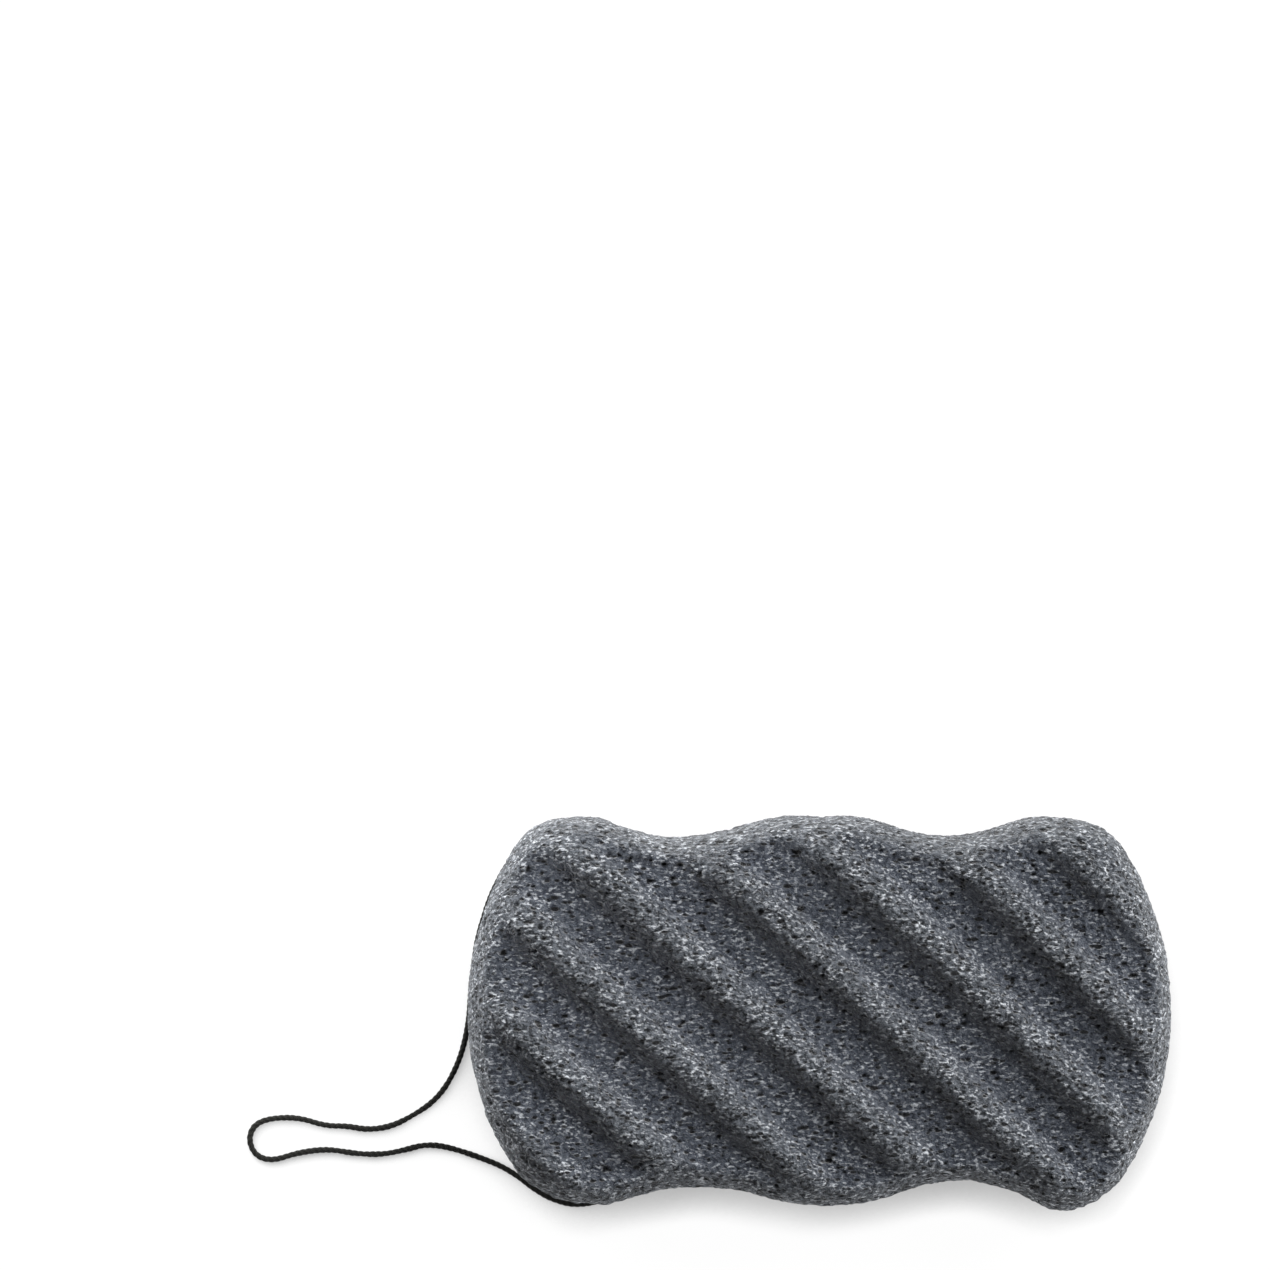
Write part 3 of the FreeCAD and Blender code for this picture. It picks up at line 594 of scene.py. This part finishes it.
def konjac_foam(name):
    """Dried konjac foam with charcoal: matt open cells, pale flecks and bluish hollows, with painted shade
    that blackens the pores and darkens the lee flanks, and a paler upper rim that is partly its own paler
    skin and partly painted sheen.
    """
    material = bpy.data.materials.new(name)
    material.use_nodes = True
    tree = material.node_tree
    shader = tree.nodes["Principled BSDF"]
    place = node(tree, "ShaderNodeTexCoord", {}).outputs["Object"]
    turned = node(tree, "ShaderNodeMapping", {"Vector": place, "Rotation": FOAM_SLANT,
                                              "Scale": (0.9, 1.0, 0.8)}).outputs["Vector"]
    long_way = node(tree, "ShaderNodeMapping", {"Vector": place, "Rotation": FOAM_SLANT,
                                                "Scale": (0.5, 1.0, 0.85)}).outputs["Vector"]
    opened = node(tree, "ShaderNodeAttribute", {}, attribute_name="open_cell").outputs["Fac"]
    hollow = node(tree, "ShaderNodeAttribute", {}, attribute_name="hollow").outputs["Fac"]
    lee = node(tree, "ShaderNodeAttribute", {}, attribute_name="lee").outputs["Fac"]
    border = node(tree, "ShaderNodeAttribute", {}, attribute_name="border").outputs["Fac"]
    # Cell walls, flecks and the clusters that they lie in, and pores of two sizes
    walls = node(tree, "ShaderNodeTexNoise", {"Vector": turned, "Scale": 1 / (WALL_SIZE * MM),
                                              "Detail": 4.0, "Roughness": 0.62}).outputs["Fac"]
    flecks = node(tree, "ShaderNodeTexNoise", {"Vector": long_way, "Scale": 1 / (FLECK_SIZE * MM),
                                               "Detail": 3.0, "Roughness": 0.6}).outputs["Fac"]
    clusters = node(tree, "ShaderNodeTexNoise", {"Vector": turned, "Scale": 1 / (CLUSTER_SIZE * MM),
                                                 "Detail": 2.0}).outputs["Fac"]
    wide_pores = node(tree, "ShaderNodeTexVoronoi", {
        "Vector": long_way, "Scale": 1 / (WIDE_PORE_SPACING * MM)}).outputs["Distance"]
    fine_pores = node(tree, "ShaderNodeTexVoronoi", {
        "Vector": long_way, "Scale": 1 / (FINE_PORE_SPACING * MM)}).outputs["Distance"]
    wall_share = node(tree, "ShaderNodeMapRange", {"Value": walls, "From Min": 0.38, "From Max": 0.65})
    base = node(tree, "ShaderNodeMix", {0: wall_share.outputs["Result"], 6: tint("#191c20"),
                                        7: tint("#6f747b")}, data_type="RGBA").outputs[2]
    # Painted shade darkens the lee flanks, turned from the light; the valleys are bluish; the upper rim is
    # paler, partly its own paler skin and partly painted sheen
    lee_shade_share = node(tree, "ShaderNodeMath", {0: lee, 1: 0.5}, operation="MULTIPLY").outputs["Value"]
    lee_shaded_base = node(tree, "ShaderNodeMix", {0: lee_shade_share, 6: base, 7: tint("#17181b")},
                  data_type="RGBA").outputs[2]
    slate_share = node(tree, "ShaderNodeMath", {0: hollow, 1: 0.4}, operation="MULTIPLY").outputs["Value"]
    slate = node(tree, "ShaderNodeMix", {0: slate_share, 6: lee_shaded_base, 7: tint("#454c5c")},
                 data_type="RGBA").outputs[2]
    # Paler upper rim: partly its own paler skin, partly painted sheen
    rim_sheen_share = node(tree, "ShaderNodeMath", {0: border, 1: 0.12}, operation="MULTIPLY").outputs["Value"]
    pale = node(tree, "ShaderNodeMix", {0: rim_sheen_share, 6: slate, 7: tint("#8b8f93")},
                data_type="RGBA").outputs[2]
    fleck_edge = node(tree, "ShaderNodeMapRange", {"Value": flecks, "From Min": 0.53, "From Max": 0.66})
    cluster_share = node(tree, "ShaderNodeMapRange", {"Value": clusters, "From Min": 0.32, "From Max": 0.62,
                                                      "To Min": 0.25, "To Max": 0.95})
    # Denser flecks on the upper rim, also partly painted sheen
    rim_sheen_fleck_share = node(tree, "ShaderNodeMath", {0: border, 1: 0.65}, operation="MULTIPLY").outputs["Value"]
    dense_share = node(tree, "ShaderNodeMath", {0: cluster_share.outputs["Result"], 1: rim_sheen_fleck_share},
                       operation="MAXIMUM").outputs["Value"]
    fleck_share = node(tree, "ShaderNodeMath", {0: fleck_edge.outputs["Result"], 1: dense_share},
                       operation="MULTIPLY").outputs["Value"]
    # Fewer pale flecks in the valleys and on the lee flanks, as painted shade, so that the lee flanks look
    # smoother and the crests and the flanks towards the light at the upper right keep the most
    hollow_fleck_shade_share = node(tree, "ShaderNodeMath", {0: hollow, 1: 0.22}, operation="MULTIPLY").outputs["Value"]
    lee_fleck_shade_share = node(tree, "ShaderNodeMath", {0: lee, 1: 0.65}, operation="MULTIPLY").outputs["Value"]
    fleck_shade_share = node(tree, "ShaderNodeMath", {0: hollow_fleck_shade_share, 1: lee_fleck_shade_share},
                      operation="MAXIMUM").outputs["Value"]
    high_share = node(tree, "ShaderNodeMath", {0: 1.0, 1: fleck_shade_share}, operation="SUBTRACT").outputs["Value"]
    fleck_share = node(tree, "ShaderNodeMath", {0: fleck_share, 1: high_share},
                       operation="MULTIPLY").outputs["Value"]
    flecked = node(tree, "ShaderNodeMix", {0: fleck_share, 6: pale, 7: tint("#e4e8ee")},
                   data_type="RGBA").outputs[2]
    # Pores: near-black painted shade in the open cells, from the pits and from two sizes of dots
    wide_share = node(tree, "ShaderNodeMapRange", {"Value": wide_pores, "From Min": 0.12, "From Max": 0.18,
                                                   "To Min": 0.95, "To Max": 0.0}).outputs["Result"]
    fine_share = node(tree, "ShaderNodeMapRange", {"Value": fine_pores, "From Min": 0.17, "From Max": 0.26,
                                                   "To Min": 0.88, "To Max": 0.0}).outputs["Result"]
    dots = node(tree, "ShaderNodeMath", {0: wide_share, 1: fine_share}, operation="MAXIMUM").outputs["Value"]
    pore_share = node(tree, "ShaderNodeMath", {0: opened, 1: dots}, operation="MAXIMUM").outputs["Value"]
    black = node(tree, "ShaderNodeMix", {0: pore_share, 6: flecked, 7: tint("#08090c")}, data_type="RGBA")
    raised = node(tree, "ShaderNodeMath", {0: flecks, 1: 0.6, 2: walls},
                  operation="MULTIPLY_ADD").outputs["Value"]
    rough = node(tree, "ShaderNodeMath", {0: raised, 1: dots}, operation="SUBTRACT").outputs["Value"]
    bump = node(tree, "ShaderNodeBump", {"Height": rough, "Strength": 1.0, "Distance": 0.001})
    tree.links.new(black.outputs[2], shader.inputs["Base Color"])
    tree.links.new(bump.outputs["Normal"], shader.inputs["Normal"])
    shader.inputs["Roughness"].default_value = 0.95
    shader.inputs["Specular IOR Level"].default_value = 0.3
    shader.inputs["Sheen Weight"].default_value = 0.22
    shader.inputs["Sheen Roughness"].default_value = 0.4
    return material


def softbox(name, place, aim, width, power):
    """Square studio light that looks from its place at its aim; unseen by the camera."""
    lamp = bpy.data.lights.new(name, "AREA")
    lamp.size = width
    lamp.energy = power
    box = bpy.data.objects.new(name, lamp)
    box.location = place
    way = np.array(aim) - np.array(place)
    flat = math.hypot(way[0], way[1])
    box.rotation_euler = (math.atan2(flat, -way[2]), 0.0, math.atan2(way[1], way[0]) - math.pi / 2)
    box.visible_camera = False
    bpy.context.collection.objects.link(box)


def white_paper(name):
    """Seamless paper: mostly plain white to the camera, with a painted soft shadow of the object in its glow.

    The painted shadow is how much of the space towards the light is taken up by the object, up to 13 mm away."""
    material = bpy.data.materials.new(name)
    material.use_nodes = True
    tree = material.node_tree
    tree.nodes.remove(tree.nodes["Principled BSDF"])
    paper = node(tree, "ShaderNodeBsdfDiffuse", {"Color": tint("#f4f4f4")})
    toward = node(tree, "ShaderNodeCombineXYZ", {"X": -0.2, "Y": 0.76, "Z": 0.62})
    open_share = node(tree, "ShaderNodeAmbientOcclusion", {"Distance": 0.013,
                                                           "Normal": toward.outputs["Vector"]}, samples=16)
    # Painted shadow: the glow is dimmed where the object takes up the space towards the light
    light = node(tree, "ShaderNodeMapRange", {"Value": open_share.outputs["AO"], "From Min": 0.4,
                                              "From Max": 0.76, "To Min": 0.48, "To Max": 1.06})
    glow = node(tree, "ShaderNodeEmission", {"Color": tint("#ffffff"), "Strength": light.outputs["Result"]})
    path = node(tree, "ShaderNodeLightPath", {})
    share = node(tree, "ShaderNodeMath", {0: path.outputs["Is Camera Ray"], 1: 0.92}, operation="MULTIPLY")
    both = node(tree, "ShaderNodeMixShader", {0: share.outputs["Value"], 1: paper.outputs[0],
                                              2: glow.outputs[0]})
    tree.links.new(both.outputs[0], tree.nodes["Material Output"].inputs["Surface"])
    return material


# Camera straight above, framed as the photograph is
eye = bpy.data.cameras.new("camera")
eye.sensor_width = 36.0
eye.lens = 173.4
camera = bpy.data.objects.new("camera", eye)
camera.location = (-0.03385, 0.06945, 1.15)
bpy.context.collection.objects.link(camera)
bpy.context.scene.camera = camera

cotton = cotton_black("black_cotton_string")
foam = konjac_foam("charcoal_konjac_foam")

# Sponge
sponge = make_sponge(foam)
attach(sponge, "sponge")
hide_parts("sponge_body")

# String and its knot
string, string_path = twisted_string("string_loop", string_line("string_route", ROUTE), cotton, salt=80)
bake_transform(string)
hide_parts("threaded_cord", "foot_strand", "shoulder_strand", "hanging_loop")

knot = twisted_string("string_knot", string_line("knot_route", knot_points()), cotton, salt=90)[0]
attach(knot, "sponge")
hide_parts("cord_knot")

# Floor just under the sponge, a large soft light from the upper right and weak ones from the other sides
half = 3.0
level = -0.0002
corners = np.array([(-half, -half, level), (half, -half, level), (half, half, level), (-half, half, level)])
floor = mesh_piece("floor", corners, np.array([[0, 1, 2, 3]]), white_paper("white_paper"))
softbox("key_softbox", (1.12, 1.4, 1.12), (0.0, 0.0, 0.0), 1.7, 77.0)
softbox("fill_softbox", (-1.275, -1.368, 0.953), (0.0, 0.0, 0.0), 0.9, 2.5)
softbox("right_softbox", (1.368, -1.417, 0.347), (0.0, 0.0, 0.0), 0.5, 22.0)
softbox("left_card", (-0.165, 0.085, 0.05), (-0.05, 0.0, 0.015), 0.1, 0.31)

# White behind everything for the camera, and a faint even light from all sides
world = bpy.data.worlds.new("studio")
world.use_nodes = True
sky = world.node_tree
sky.nodes.clear()
ray = node(sky, "ShaderNodeLightPath", {})
room = node(sky, "ShaderNodeBackground", {"Color": tint("#ffffff"), "Strength": 0.03})
wall = node(sky, "ShaderNodeBackground", {"Color": tint("#ffffff"), "Strength": 1.0})
seen = node(sky, "ShaderNodeMixShader", {0: ray.outputs["Is Camera Ray"], 1: room.outputs[0],
                                         2: wall.outputs[0]})
node(sky, "ShaderNodeOutputWorld", {"Surface": seen.outputs[0]})
bpy.context.scene.world = world
bpy.context.scene.view_settings.view_transform = "Standard"
